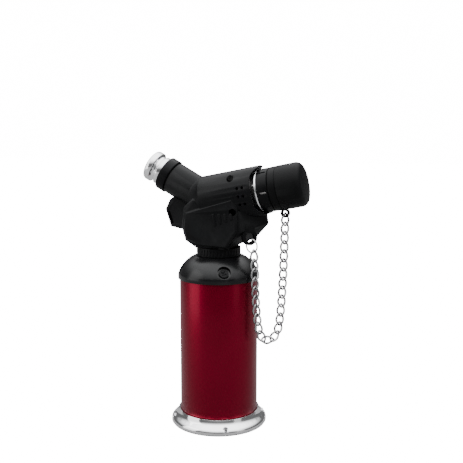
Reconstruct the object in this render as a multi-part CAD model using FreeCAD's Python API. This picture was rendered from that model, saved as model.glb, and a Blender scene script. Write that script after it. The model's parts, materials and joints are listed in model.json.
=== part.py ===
import FreeCAD, Part
import math
import os

# Hand-held butane micro torch: a round fuel tank on a flared base, with a pistol-shaped burner head.
# Millimetres. +Z is up, +X is the way the flame leaves, and the origin is on the tank's axis,
# on the plane that the torch stands on. The head is symmetric about Y = 0.

# ---- base and tank
base_r = 24.8
base_h = 7.2
base_lip_h = 2.4
base_bore_r = 18.4
ledge_z = 5.6
tank_r = 20.0
tank_top_z = 76.9
sleeve_wall = 0.6
tank_gap = 0.05
reservoir_wall = 1.2
floor_h = 3.0
gasket_h = 0.5
skirt_foot_z = 1.2
skirt_wall = 1.8

# ---- fill valve, in the middle of the floor
fill_mouth_z = 4.6
fill_mouth_r = 2.4
fill_mouth_depth = 2.4
fill_chamber_r = 2.15
fill_body_r = 3.5
fill_body_h = 10.4
fill_seal_h = 0.8
fill_rod_r = 0.85
fill_head_r = 1.8

# ---- shoulder and neck
shoulder_r = 20.9
shoulder_foot_z = 76.2
shoulder_rim_z = 78.5
shoulder_mid_r = 17.7
shoulder_mid_z = 84.0
shoulder_top_r = 12.6
shoulder_top_z = 87.8
housing_r = 7.6
housing_flange_r = 10.3
clamp_ring_r = 15.4
neck_ring_r = 11.3
neck_nut_r = 8.6
neck_nut_h = 1.6
neck_foot_z = 88.0
neck_top_z = 92.3
head_floor_z = 92.5
knurl_count = 40

# ---- screws
shoulder_screws = 4
screw_start_deg = -62.0
shoulder_screw_tilt = 42.0
shoulder_screw_r = 1.1
shoulder_screw_head_r = 2.3
shoulder_recess_r = 3.3
base_screw_z = 2.9
base_screw_r = 0.8
base_screw_head_r = 1.5

# ---- the two axes of the head
nozzle_tilt = 11.5
nozzle_axis_z = 116.5
tube_tilt = 29.0
crossing_x = -4.4
barrel_r = 13.0
barrel_wall = 1.6
mouth_bore_r = 11.45
mouth_bore_from = 20.5
barrel_back_s = -6.0
mouth_s = 21.4
mouth_top_s = 24.9
mouth_tip_s = 28.8
tube_r = 8.4
tube_bore_r = 6.8
tube_front_u = 10.0
collar_back_u = 23.7
collar_end_u = 28.6
collar_r = 8.9
collar_groove_w = 0.6
collar_groove_depth = 0.55

# ---- body of the head
tongue_deg = 22.3
body_front_x = 14.6
body_half = 11.6
panel_half = 13.2
body_wall = 1.6
lug_half = 4.5
edge_bevel = 0.9

# ---- button and piezo igniter
button_end_u = 37.6
button_r = 8.0
button_waist_r = 6.7
button_root_r = 7.5
button_root_u = 28.0
skirt_r = 6.6
skirt_front_u = 20.0
slide_gap = 0.08
core_half_y = 2.3
core_half_v = 2.9
core_front_u = 1.2
core_back_u = 9.5
carriage_wall = 1.0
carriage_front_u = 7.4
carriage_roof_u = 17.0
leg_half_y = 2.6
leg_front_u = -0.5

# ---- valve and its lever
stem_r = 1.2
stem_top_z = 105.4
stem_collar_z = 102.2
stem_collar_r = 2.7
lever_x = 6.0
lever_z = 100.4
prong_in = 1.5
prong_out = 2.7
pin_r = 0.9
hose_r = 1.1

# ---- burner
guard_r = 9.2
guard_wall = 0.8
guard_back_s = 14.6
guard_front_s = 37.0
flame_tube_r = 6.2
flame_tube_wall = 0.5
flame_tube_back_s = 23.5
mixing_r = 4.6
mixing_wall = 0.6
plate_s = 15.2
plate_h = 3.0
jet_r = 2.0
electrode_up = 4.5
electrode_side = 5.6
insulator_r = 0.8
electrode_r = 0.4
air_collar_r = 11.0
air_collar_back_s = 23.95
air_collar_front_s = 29.4
air_slots = 6
air_slot_w = 1.0
trim_ring_r = 11.1
trim_ring_s = 23.1
trim_ring_h = 0.75

# ---- cap
cap_r = 11.15
cap_back_s = 29.65
cap_front_s = 46.0
cap_wall = 1.5
cap_gap = 0.2
cap_groove_s = 33.5
lug_s = 33.3
lug_drop = 1.55
lug_r = 2.3
lug_hole_r = 1.15
lug_thick = 1.65

# ---- chain
link_pitch = 4.6
link_play = 0.40
link_fold = 9.0
link_wire_r = 0.42
link_half_width = 2.1
link_count = 25
ring_r = 3.4
ring_wire_r = 0.4
eyelet_r = 4.0
eyelet_hole_r = 2.3
eyelet_thick = 1.7
ring_lean = 0.50
ring_turn = -22.0
lowest_link = 10
first_twist = -45.0
low_twist = -50.0
last_twist = -119.0

V = FreeCAD.Vector
UP = V(0, 0, 1)
ACROSS = V(0, 1, 0)
parts = {}


# ---- small helpers
def rod(radius, length, foot=V(0, 0, 0), along=UP):
    return Part.makeCylinder(radius, length, foot, along)


def pipe(outer, bore, length, foot=V(0, 0, 0), along=UP):
    return rod(outer, length, foot, along).cut(rod(bore, length, foot, along))


def turned(profile):
    """A solid turned about Z from its (radius, height) outline."""
    points = [V(r, 0, z) for r, z in profile]
    face = Part.Face(Part.makePolygon(points + points[:1]))
    return face.revolve(V(0, 0, 0), UP, 360)


def plate_y(outline, low, high):
    """An outline in the XZ plane made a plate from Y = low to Y = high."""
    points = [V(x, low, z) for x, z in outline]
    face = Part.Face(Part.makePolygon(points + points[:1]))
    return face.extrude(V(0, high - low, 0))


def block(x0, x1, y0, y1, z0, z1):
    return Part.makeBox(x1 - x0, y1 - y0, z1 - z0, V(x0, y0, z0))


def joined(first, *others):
    return first.multiFuse(list(others)).removeSplitter()


def cut_beyond(shape, point, outward):
    """What is left of a shape behind the plane through a point with the given outward direction."""
    size = 300.0
    away = Part.makeBox(size, size, size, V(-size / 2, -size / 2, 0))
    away.Placement = FreeCAD.Placement(point, FreeCAD.Rotation(UP, outward))
    return shape.cut(away)


def group(solids):
    return Part.makeCompound([s for shape in solids for s in shape.Solids])


def around(count, start_deg=0.0):
    return [start_deg + 360.0 * i / count for i in range(count)]


# ---- the two tilted axes: s runs along the nozzle, u along the rear tube
tilt = math.radians(nozzle_tilt)
lean = math.radians(tube_tilt)
nozzle_dir = V(math.cos(tilt), 0, math.sin(tilt))
nozzle_up = V(-math.sin(tilt), 0, math.cos(tilt))
nozzle_foot = V(0, 0, nozzle_axis_z)
tube_dir = V(-math.cos(lean), 0, math.sin(lean))
tube_up = V(math.sin(lean), 0, math.cos(lean))
crossing = V(crossing_x, 0, nozzle_axis_z + crossing_x * math.tan(tilt))


def at_nozzle(s, up=0.0, y=0.0):
    return nozzle_foot + nozzle_dir * s + nozzle_up * up + V(0, y, 0)


def at_tube(u, up=0.0, y=0.0):
    return crossing + tube_dir * u + tube_up * up + V(0, y, 0)


def on_nozzle(shape):
    """A shape made along +Z, with its top side towards -X, laid on the nozzle's axis."""
    lie = FreeCAD.Placement(nozzle_foot, FreeCAD.Rotation(ACROSS, 90 - nozzle_tilt))
    shape.Placement = lie.multiply(shape.Placement)
    return shape


def on_tube(shape):
    """A shape made along +Z, with its top side towards +X, laid on the rear tube's axis."""
    lie = FreeCAD.Placement(crossing, FreeCAD.Rotation(ACROSS, tube_tilt - 90))
    shape.Placement = lie.multiply(shape.Placement)
    return shape


def loft_between(rings):
    wires = [Part.Wire(Part.makeCircle(r, centre, normal)) for r, centre, normal in rings]
    return Part.makeLoft(wires, True, True)


def coil(radius, wire_r, foot_z, length, turns):
    """A compression spring about Z."""
    path = Part.Wire(Part.makeHelix(length / turns, length, radius).Edges)
    start = Part.Wire(Part.makeCircle(wire_r, V(radius, 0, 0), ACROSS))
    shape = path.makePipeShell([start], True, True)
    shape.translate(V(0, 0, foot_z))
    return shape


# ---- base and tank
def base_profile():
    flare = [(tank_r + 1.0, base_h), (tank_r + 1.25, base_h - 1.1), (tank_r + 2.0, base_h - 2.5)]
    rim = [(base_r - 0.9, base_lip_h + 0.9), (base_r - 0.15, base_lip_h)]
    foot = [(base_r, base_lip_h - 0.7), (base_r, 0.7), (base_r - 0.5, 0.0)]
    inside = [(base_bore_r + 2.6, 0.0), (base_bore_r, 1.4), (base_bore_r, ledge_z)]
    seat = [(tank_r, ledge_z), (tank_r, base_h - 0.2), (tank_r + 0.2, base_h)]
    return foot[::-1] + rim[::-1] + flare[::-1] + seat[::-1] + inside[::-1]


def base_screw(angle, head_r, shank_r, head_from, tip):
    a = math.radians(angle)
    outward = V(math.cos(a), math.sin(a), 0)
    head = rod(head_r, 1.1, outward * (head_from - 1.1) + V(0, 0, base_screw_z), outward)
    shank = rod(shank_r, head_from - tip, outward * tip + V(0, 0, base_screw_z), outward)
    return head.fuse(shank)


skirt_r_out = base_bore_r - tank_gap
floor_top_z = ledge_z + floor_h
base_screw_face = base_r - 1.1


def make_base():
    ring = turned(base_profile())
    screws = []
    for angle in around(4, screw_start_deg):
        screws.append(base_screw(angle, base_screw_head_r, base_screw_r, base_screw_face, skirt_r_out - 1.4))
        ring = ring.cut(base_screw(angle, base_screw_head_r + 0.2, base_screw_r, base_screw_face + 3, 17.0))
        ring = ring.cut(base_screw(angle, base_screw_head_r, base_screw_r, base_screw_face, 17.0))
    cross = []
    for angle, screw in zip(around(4, screw_start_deg), screws):
        a = math.radians(angle)
        slot = block(-0.5, 0.5, -base_screw_head_r, base_screw_head_r, -0.25, 0.25)
        slot.rotate(V(0, 0, 0), UP, angle)
        slot.translate(V(math.cos(a), math.sin(a), 0) * base_screw_face + V(0, 0, base_screw_z))
        cross.append(screw.cut(slot))
    parts["base_ring"] = ring
    parts["base_screws"] = group(cross)


def make_floor():
    disc = rod(tank_r - sleeve_wall - tank_gap, floor_h, V(0, 0, ledge_z))
    skirt = pipe(skirt_r_out, skirt_r_out - skirt_wall, ledge_z - skirt_foot_z, V(0, 0, skirt_foot_z))
    boss_foot = fill_mouth_z + 0.6
    boss_top = fill_mouth_z + fill_body_h - 1.4
    boss = rod(fill_body_r + 2.0, boss_top - boss_foot, V(0, 0, boss_foot))
    floor = joined(disc, skirt, boss)
    floor = floor.cut(rod(fill_body_r, 20, V(0, 0, 0)))
    for angle in around(4, screw_start_deg):
        tip = skirt_r_out - 1.4
        floor = floor.cut(base_screw(angle, base_screw_r, base_screw_r, base_screw_face, tip))
    parts["tank_floor"] = floor


def make_tank():
    inner = tank_r - sleeve_wall
    parts["tank_sleeve"] = pipe(tank_r, inner, tank_top_z - ledge_z, V(0, 0, ledge_z))
    outer = inner - tank_gap
    bore = outer - reservoir_wall
    foot = floor_top_z + gasket_h
    roof = reservoir_wall + 0.3
    shell = rod(outer, tank_top_z - foot, V(0, 0, foot))
    shell = shell.cut(rod(bore, tank_top_z - foot - roof, V(0, 0, foot)))
    parts["fuel_reservoir"] = shell.cut(rod(housing_r - 1.6, 20, V(0, 0, tank_top_z - 10)))
    parts["floor_gasket"] = pipe(outer, bore, gasket_h, V(0, 0, floor_top_z))


def make_fill_valve():
    seal_z = fill_mouth_z + fill_mouth_depth
    chamber_z = seal_z + fill_seal_h
    top_z = fill_mouth_z + fill_body_h
    body = rod(fill_body_r, fill_body_h, V(0, 0, fill_mouth_z))
    body = body.cut(rod(fill_mouth_r, fill_mouth_depth, V(0, 0, fill_mouth_z)))
    body = body.cut(rod(fill_chamber_r, top_z - 1.2 - seal_z, V(0, 0, seal_z)))
    body = body.cut(rod(0.6, 5, V(0, 0, top_z - 3)))
    parts["fill_valve_body"] = body
    parts["fill_valve_seal"] = pipe(fill_chamber_r, fill_rod_r + slide_gap, fill_seal_h, V(0, 0, seal_z))
    head = rod(fill_head_r, 1.0, V(0, 0, chamber_z + 0.02))
    rod_low = rod(fill_rod_r, chamber_z + 0.45 - seal_z, V(0, 0, seal_z + 0.05))
    pilot = rod(0.7, 1.2, V(0, 0, chamber_z + 1.0))
    parts["fill_valve_stem"] = joined(head, rod_low, pilot)
    spring_foot = chamber_z + 1.02 + 0.26
    parts["fill_valve_spring"] = coil(1.3, 0.22, spring_foot, top_z - 1.2 - 0.3 - spring_foot, 4)


# ---- shoulder, neck and gas valve
def dome_wire():
    top = V(shoulder_top_r, 0, shoulder_top_z)
    mid = V(shoulder_mid_r, 0, shoulder_mid_z)
    rim = V(shoulder_r, 0, shoulder_rim_z)
    hole = housing_r + tank_gap
    inner_top = V(hole, 0, shoulder_top_z)
    throat = V(hole, 0, shoulder_top_z - 2.6)
    hollow = V(clamp_ring_r + 0.15, 0, shoulder_rim_z + 3.2)
    ledge = V(clamp_ring_r + 0.15, 0, tank_top_z)
    seat = V(tank_r + tank_gap, 0, tank_top_z)
    foot_in = V(tank_r + tank_gap, 0, shoulder_foot_z)
    foot_out = V(shoulder_r, 0, shoulder_foot_z)
    arc = Part.Arc(top, mid, rim).toShape()
    straight = [rim, foot_out, foot_in, seat, ledge, hollow, throat, inner_top, top]
    lines = [Part.makeLine(a, b) for a, b in zip(straight, straight[1:])]
    return Part.Wire([arc] + lines)


def shoulder_axis(angle):
    a = math.radians(angle)
    rise = math.radians(shoulder_screw_tilt)
    out = V(math.cos(a) * math.cos(rise), math.sin(a) * math.cos(rise), math.sin(rise))
    seat_r = shoulder_mid_r + 1.3
    face = V(math.cos(a) * seat_r, math.sin(a) * seat_r, shoulder_mid_z - 1.9)
    return face, out


def make_shoulder():
    cap = Part.Face(dome_wire()).revolve(V(0, 0, 0), UP, 360)
    ring = pipe(clamp_ring_r, housing_flange_r + 0.1, 3.6, V(0, 0, tank_top_z))
    screws = []
    for angle in around(shoulder_screws, screw_start_deg):
        face, out = shoulder_axis(angle)
        seat = face - out * 1.9
        tip = face - out * 6.6
        cap = cap.cut(rod(shoulder_recess_r, 8, seat, out))
        cap = cap.cut(rod(shoulder_screw_r + 0.05, 9, tip, out))
        hole = rod(shoulder_screw_r, 4.7, tip, out)
        ring = ring.cut(hole)
        head = rod(shoulder_screw_head_r, 0.9, seat, out)
        cross_a = block(-1.4, 1.4, -0.25, 0.25, 0.45, 1.5)
        cross_b = block(-0.25, 0.25, -1.4, 1.4, 0.45, 1.5)
        cross = cross_a.fuse(cross_b)
        cross.Placement = FreeCAD.Placement(seat, FreeCAD.Rotation(UP, out))
        screws.append(joined(head, hole).cut(cross))
    parts["shoulder_cap"] = cap
    parts["clamp_ring"] = ring
    parts["shoulder_screws"] = group(screws)


def make_neck():
    ring = pipe(neck_ring_r, housing_r + slide_gap, neck_top_z - neck_foot_z, V(0, 0, neck_foot_z))
    cutters = []
    for angle in around(knurl_count):
        a = math.radians(angle)
        spot = V(math.cos(a), math.sin(a), 0) * (neck_ring_r + 0.15)
        cutters.append(rod(0.42, neck_top_z - neck_foot_z - 1.2, spot + V(0, 0, neck_foot_z + 0.6)))
    parts["flame_ring"] = ring.cut(group(cutters))


housing_foot_z = tank_top_z - 9.0
nut_z = head_floor_z + body_wall
housing_top_z = nut_z + 3.4
chamber_foot_z = nut_z - 9.5


def make_valve():
    low_r = housing_r - 1.6
    outline = [
        (1.6, housing_foot_z), (low_r - 1.5, housing_foot_z), (low_r - 1.5, tank_top_z - 5),
        (low_r, tank_top_z - 5), (low_r, tank_top_z), (housing_flange_r, tank_top_z),
        (housing_flange_r, tank_top_z + 2.4), (housing_r, tank_top_z + 2.4), (housing_r, nut_z + 1.6),
        (4.6, nut_z + 1.6), (4.6, housing_top_z), (2.8, housing_top_z),
        (2.8, chamber_foot_z), (1.6, chamber_foot_z),
    ]
    parts["valve_housing"] = turned(outline)
    parts["neck_nut"] = pipe(neck_nut_r, housing_r, neck_nut_h, V(0, 0, nut_z))
    parts["valve_seat"] = pipe(2.8, 0.7, 0.8, V(0, 0, chamber_foot_z))
    gland = joined(pipe(2.8, stem_r + slide_gap, 1.4, V(0, 0, housing_top_z - 1.4)),
                   pipe(4.6, stem_r + slide_gap, 1.0, V(0, 0, housing_top_z)))
    parts["gland_nut"] = gland
    disc_z = chamber_foot_z + 0.82
    stem = joined(rod(2.3, 1.2, V(0, 0, disc_z)),
                  rod(stem_r, stem_top_z - disc_z, V(0, 0, disc_z)),
                  rod(stem_collar_r, 0.9, V(0, 0, stem_collar_z)))
    parts["valve_stem"] = stem
    spring_foot = disc_z + 1.2 + 0.32
    spring_top = housing_top_z - 1.4 - 0.32
    parts["valve_spring"] = coil(1.95, 0.28, spring_foot, spring_top - spring_foot, 5)
    dip_foot = fill_mouth_z + fill_body_h + 3.0
    parts["dip_tube"] = pipe(1.6, 0.9, housing_foot_z + 4.0 - dip_foot, V(0, 0, dip_foot))


# ---- head shell
def body_outline():
    return [(-10.0, 117.5), (-14.8, 113.0), (-15.9, 102.8), (-13.9, 96.2), (-9.0, 93.2),
            (-8.0, head_floor_z), (8.6, head_floor_z), (14.6, 100.9), (14.6, 118.0)]


def panel_outline():
    return [(-13.4, 110.6), (-14.3, 102.6), (-13.0, 97.0), (-5.2, 93.9), (8.3, 93.2),
            (14.1, 101.9), (14.1, 113.8), (11.4, 118.2)]


def lug_outline():
    return [(-22.5, 118.0), (-25.4, 116.0), (-27.8, 111.0), (-24.9, 102.0), (-20.2, 101.0),
            (-14.0, 100.6), (-12.0, 116.0)]


def bevelled_plate(outline, half, bevel):
    """A symmetric plate whose two faces are smaller than its middle by the bevel."""
    core = [V(x, 0, z) for x, z in outline]
    wire = Part.makePolygon(core + core[:1])
    small = wire.makeOffset2D(-bevel, 2)
    if Part.Face(small).Area > Part.Face(wire).Area:
        small = wire.makeOffset2D(bevel, 2)

    def moved(shape, y):
        copy = shape.copy()
        copy.translate(V(0, y, 0))
        return copy

    mid = Part.Face(moved(wire, bevel - half)).extrude(V(0, 2 * (half - bevel), 0))
    near = Part.makeLoft([moved(wire, bevel - half), moved(small, -half)], True, True)
    far = Part.makeLoft([moved(wire, half - bevel), moved(small, half)], True, True)
    return joined(mid, near, far)


prow_x = 26.4
prow_back = V(14.6, -body_half, 101.0)
prow_front = V(prow_x, -0.7, 105.3)
prow_keel = V(20.7, 0, 98.4)


def side_normal(sign=1):
    run = prow_front - prow_back
    flat = V(run.y, -run.x, 0)
    flat.normalize()
    return V(flat.x, flat.y * sign, 0)


def keel_normal(sign=1):
    n = (prow_front - prow_back).cross(prow_keel - prow_back)
    n.normalize()
    if n.z > 0:
        n = n * -1
    return V(n.x, n.y * sign, n.z)


def make_prow():
    wedge = block(4.0, prow_x, -body_half, body_half, head_floor_z, 112.0)
    for sign in (1, -1):
        back = V(prow_back.x, prow_back.y * sign, prow_back.z)
        wedge = cut_beyond(wedge, back, side_normal(sign))
        wedge = cut_beyond(wedge, back, keel_normal(sign))
    wedge = cut_beyond(wedge, V(8.6, 0, head_floor_z), V(prow_keel.z - head_floor_z, 0, 8.6 - prow_keel.x))
    return cut_beyond(wedge, V(prow_x, 0, 105.6), V(0.98, 0, 0.2))


def barrel_and_tube(inset):
    """The barrel, the rear tube and the cone between them, smaller by the inset all round."""
    big = barrel_r - inset
    small = tube_r - min(inset, tube_r - tube_bore_r)
    over = 0.0 if inset == 0 else 12.0
    barrel = rod(big, mouth_tip_s - barrel_back_s + over, at_nozzle(barrel_back_s), nozzle_dir)
    tube = rod(small, collar_back_u - tube_front_u + over, at_tube(tube_front_u), tube_dir)
    cone = loft_between([(big, at_nozzle(barrel_back_s), nozzle_dir),
                         (small, at_tube(tube_front_u), tube_dir * -1)])
    return joined(barrel, cone, tube)


def mouth_cutter():
    """Everything in front of the scalloped mouth: short at the sides, a lip on top and a tongue below."""
    r = barrel_r + 1
    tongue_up = -mouth_bore_r - 0.9
    points = [(mouth_top_s, r), (mouth_top_s, 11.9)]
    shape = [at_nozzle(s, up, -20) for s, up in points]
    top_end = at_nozzle(mouth_s, 6.8, -20)
    top_mid = at_nozzle(mouth_s + 0.7, 9.6, -20)
    low_start = at_nozzle(mouth_s, -5.5, -20)
    low_mid = at_nozzle(mouth_s + 1.5, -9.3, -20)
    low_end = at_nozzle(mouth_tip_s, tongue_up, -20)
    far_low = at_nozzle(mouth_tip_s + 30, tongue_up, -20)
    far_top = at_nozzle(mouth_tip_s + 30, r, -20)
    edges = [Part.makeLine(shape[0], shape[1]),
             Part.Arc(shape[1], top_mid, top_end).toShape(),
             Part.makeLine(top_end, low_start),
             Part.Arc(low_start, low_mid, low_end).toShape(),
             Part.makeLine(low_end, far_low), Part.makeLine(far_low, far_top),
             Part.makeLine(far_top, shape[0])]
    return Part.Face(Part.Wire(edges)).extrude(V(0, 40, 0))


tongue_point = V(19.2, 0, 106.9)


def eyelet_centre():
    along = V(side_normal().y * -1, side_normal().x, 0)
    point = prow_back + along * 6.1
    return V(point.x, point.y, 98.7) - side_normal() * (eyelet_thick / 2 - 0.4)


def make_eyelet():
    out = side_normal()
    foot = eyelet_centre() - out * (eyelet_thick / 2)
    tab = rod(eyelet_r, eyelet_thick, foot, out)
    along = V(-out.y, out.x, 0)
    corners = [foot + along * x + UP * z for x, z in ((-2.6, 0), (2.6, 0), (2.6, 5.2), (-2.6, 5.2))]
    root = Part.Face(Part.makePolygon(corners + corners[:1])).extrude(out * eyelet_thick)
    return joined(tab, root).cut(rod(eyelet_hole_r, eyelet_thick, foot, out))


vent_s = (15.0, 17.6)
vent_up = (3.7, -0.3, -4.3)
vent_r = 0.75
shell_screw_spots = ((11.3, 9.3), (10.6, -7.3))
shell_screw_seat = 7.6
shell_screw_r = 0.8
shell_screw_head_r = 1.6


def shell_cutters():
    holes = [rod(vent_r, 60, at_nozzle(s, up, -30), ACROSS) for s in vent_s for up in vent_up]
    for s, up in shell_screw_spots:
        holes.append(rod(shell_screw_head_r + 0.2, 20, at_nozzle(s, up, -20 - shell_screw_seat), ACROSS))
    low = V(-23.7, -10, 104.2)
    high = V(-25.6, -10, 110.0)
    side = V(high.z - low.z, 0, low.x - high.x)
    side.normalize()
    corners = [low + side * 0.7, low - side * 0.7, high - side * 0.7, high + side * 0.7]
    slot = Part.Face(Part.makePolygon(corners + corners[:1])).extrude(V(0, 20, 0))
    return holes + [joined(slot, rod(0.7, 20, low, ACROSS), rod(0.7, 20, high, ACROSS))]


def barrel_rib(s, h):
    return pipe(barrel_r - barrel_wall + 0.4, guard_r, h, at_nozzle(s), nozzle_dir)


def core_cradle():
    """Webs from the side walls to the igniter's core, one each side."""
    web = block(-2.5, 2.5, -barrel_r + 0.8, barrel_r - 0.8, core_front_u + 0.4, core_front_u + 1.9)
    web = web.cut(block(-3, 3, -core_half_y, core_half_y, 0, 5))
    return on_tube(web)


def pin_bosses():
    reach = body_half - body_wall + 0.3
    boss = rod(2.2, 2 * reach, V(lever_x, -reach, lever_z), ACROSS)
    return boss.cut(block(-20, 20, -prong_out - 0.3, prong_out + 0.3, 80, 120))


def make_shells():
    skin = barrel_and_tube(0.0)
    body = bevelled_plate(body_outline(), body_half, edge_bevel)
    panel = bevelled_plate(panel_outline(), panel_half, edge_bevel)
    lug = bevelled_plate(lug_outline(), lug_half, edge_bevel)
    outer = joined(skin, body, panel, lug, make_prow())
    side = body_half - body_wall
    hollow = [(-9.0, 116.0), (-12.8, 112.2), (-13.9, 103.2), (-12.3, 97.2), (-8.0, nut_z),
              (7.2, nut_z), (12.6, 101.4), (12.6, 116.0)]
    inside = joined(barrel_and_tube(barrel_wall), plate_y(hollow, -side, side))
    lining = pipe(barrel_r, mouth_bore_r, 30, at_nozzle(mouth_bore_from), nozzle_dir)
    shell = outer.cut(inside.cut(lining))
    shell = shell.cut(rod(mouth_bore_r, 60, at_nozzle(mouth_bore_from - 1), nozzle_dir))
    shell = shell.cut(mouth_cutter())
    chin = math.radians(tongue_deg)
    front = block(body_front_x, 60, -30, 30, 60, 112)
    below = cut_beyond(front, tongue_point, V(-math.sin(chin), 0, math.cos(chin)))
    shell = shell.cut(below)
    prow = make_prow().cut(rod(barrel_r - 1, 60, at_nozzle(-10), nozzle_dir)).cut(inside)
    shell = joined(shell, prow)
    fittings = [barrel_rib(15.2, 1.5), barrel_rib(18.8, 1.5), core_cradle(), pin_bosses()]
    for s, up in shell_screw_spots:
        reach = shell_screw_seat + 0.8
        fittings.append(rod(2.9, 2 * reach, at_nozzle(s, up, -reach), ACROSS))
    fittings = joined(fittings[0], *fittings[1:]).common(outer)
    shell = joined(shell, fittings, make_eyelet())
    shell = shell.cut(rod(housing_r + tank_gap, 20, V(0, 0, head_floor_z - 10)))
    shell = shell.cut(rod(neck_nut_r + tank_gap, neck_nut_h + tank_gap, V(0, 0, nut_z)))
    shell = shell.cut(rod(pin_r, 2 * side, V(lever_x, -side, lever_z), ACROSS))
    groove_foot = V(0, 0, collar_back_u - collar_groove_w)
    groove = pipe(tube_r + 1, tube_r - collar_groove_depth, collar_groove_w, groove_foot)
    shell = shell.cut(on_tube(groove))
    for cutter in shell_cutters():
        shell = shell.cut(cutter)
    for s, up in shell_screw_spots:
        shell = shell.cut(rod(shell_screw_r, 14, at_nozzle(s, up, -shell_screw_seat - 1), ACROSS))
    big = block(-200, 200, 0, 200, 0, 300)
    parts["head_shell_right"] = biggest(shell.cut(big))
    parts["head_shell_left"] = biggest(shell.common(big))
    screws = []
    for s, up in shell_screw_spots:
        head = rod(shell_screw_head_r, 0.9, at_nozzle(s, up, -shell_screw_seat - 0.9), ACROSS)
        shank = rod(shell_screw_r, 12.0, at_nozzle(s, up, -shell_screw_seat), ACROSS)
        slot_a = block(-1.0, 1.0, -0.2, 0.2, -0.1, 0.45)
        slot_b = block(-0.2, 0.2, -1.0, 1.0, -0.1, 0.45)
        cross = slot_a.fuse(slot_b)
        spot = at_nozzle(s, up, -shell_screw_seat - 0.9)
        cross.Placement = FreeCAD.Placement(spot, FreeCAD.Rotation(UP, ACROSS))
        screws.append(joined(head, shank).cut(cross))
    parts["shell_screws"] = group(screws)
    parts["lever_pin"] = rod(pin_r, 2 * side, V(lever_x, -side, lever_z), ACROSS)


def biggest(shape):
    return max(shape.Solids, key=lambda solid: solid.Volume)


# ---- button and piezo igniter
def make_button():
    outline = [
        (0.0, skirt_front_u), (skirt_r, skirt_front_u), (skirt_r, button_root_u),
        (button_root_r, button_root_u), (button_root_r, 31.0), (button_waist_r, 31.6),
        (button_waist_r, 33.0), (button_r, 33.8), (button_r, button_end_u - 1.4),
        (button_r - 0.4, button_end_u - 0.5), (button_r - 1.3, button_end_u), (0.0, button_end_u + 0.2),
    ]
    parts["ignition_button"] = on_tube(turned(outline))
    collar = pipe(collar_r, button_root_r + 0.2, collar_end_u - collar_back_u, V(0, 0, collar_back_u))
    rims = [e for e in collar.Edges if abs(e.Length - 2 * math.pi * collar_r) < 0.01]
    parts["button_collar"] = on_tube(collar.makeFillet(0.5, rims))


def make_igniter():
    core = block(-core_half_v, core_half_v, -core_half_y, core_half_y, core_front_u, core_back_u)
    parts["piezo_core"] = on_tube(core)
    in_v = core_half_v + slide_gap
    in_y = core_half_y + slide_gap
    out_v = in_v + carriage_wall
    out_y = in_y + carriage_wall
    case = block(-out_v, out_v, -out_y, out_y, carriage_front_u, skirt_front_u)
    leg = block(-out_v - 2.0, -out_v + 0.1, -leg_half_y, leg_half_y, leg_front_u, carriage_front_u + 3)
    case = joined(case, leg)
    case = case.cut(block(-in_v, in_v, -in_y, in_y, carriage_front_u - 1, carriage_roof_u))
    parts["piezo_carriage"] = on_tube(case)
    foot = core_back_u + 0.35
    spring = coil(1.7, 0.3, foot, carriage_roof_u - 0.35 - foot, 5)
    parts["piezo_spring"] = on_tube(spring)


def make_lever():
    arm = [(-1.5, 100.3), (-1.5, 101.7), (4.2, 101.7), (4.2, 105.0), (-2.9, 106.2), (-3.5, 107.2),
           (-2.7, 108.1), (5.6, 106.9), (7.3, 104.5), (7.8, 100.4), (6.6, 98.7), (4.6, 98.9)]
    near = plate_y(arm, -prong_out, -prong_in)
    far = plate_y(arm, prong_in, prong_out)
    hub = rod(2.0, 2 * prong_out, V(lever_x, -prong_out, lever_z), ACROSS)
    lever = joined(near, far, hub)
    parts["valve_lever"] = lever.cut(rod(pin_r + slide_gap, 40, V(lever_x, -20, lever_z), ACROSS))


# ---- flexible runs inside the head
def tube_along(points, radius):
    """A round tube along straight runs joined by tangent arcs as large as the runs allow."""
    edges = []
    start = points[0]
    for before, corner, after in zip(points, points[1:], points[2:]):
        back = before - corner
        ahead = after - corner
        turn = math.pi - back.getAngle(ahead)
        bend = 0.45 * min(back.Length, ahead.Length) / math.tan(turn / 2)
        reach = bend * math.tan(turn / 2)
        back.normalize()
        ahead.normalize()
        inward = back + ahead
        inward.normalize()
        middle = corner + inward * (bend / math.cos(turn / 2) - bend)
        enter = corner + back * reach
        leave = corner + ahead * reach
        edges.append(Part.makeLine(start, enter))
        edges.append(Part.Arc(enter, middle, leave).toShape())
        start = leave
        print("bend radius %.1f" % bend)
    edges.append(Part.makeLine(start, points[-1]))
    path = Part.Wire(edges)
    ring = Part.Wire(Part.makeCircle(radius, points[0], points[1] - points[0]))
    return path.makePipeShell([ring], True, True)


def make_runs():
    corner = V(0, 0, nozzle_axis_z)
    parts["gas_hose"] = tube_along([V(0, 0, stem_top_z), corner, at_nozzle(jet_back_s)], hose_r)
    first = at_tube(core_front_u, 1.5, 0.8)
    bend = at_tube(core_front_u - 4.5, 1.5, 0.8)
    last = at_nozzle(plate_s - 0.85, electrode_up, electrode_side)
    parts["spark_lead"] = tube_along([first, bend, last - nozzle_dir * 3.0, last], 0.6)


# ---- burner
jet_back_s = 11.4


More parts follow.
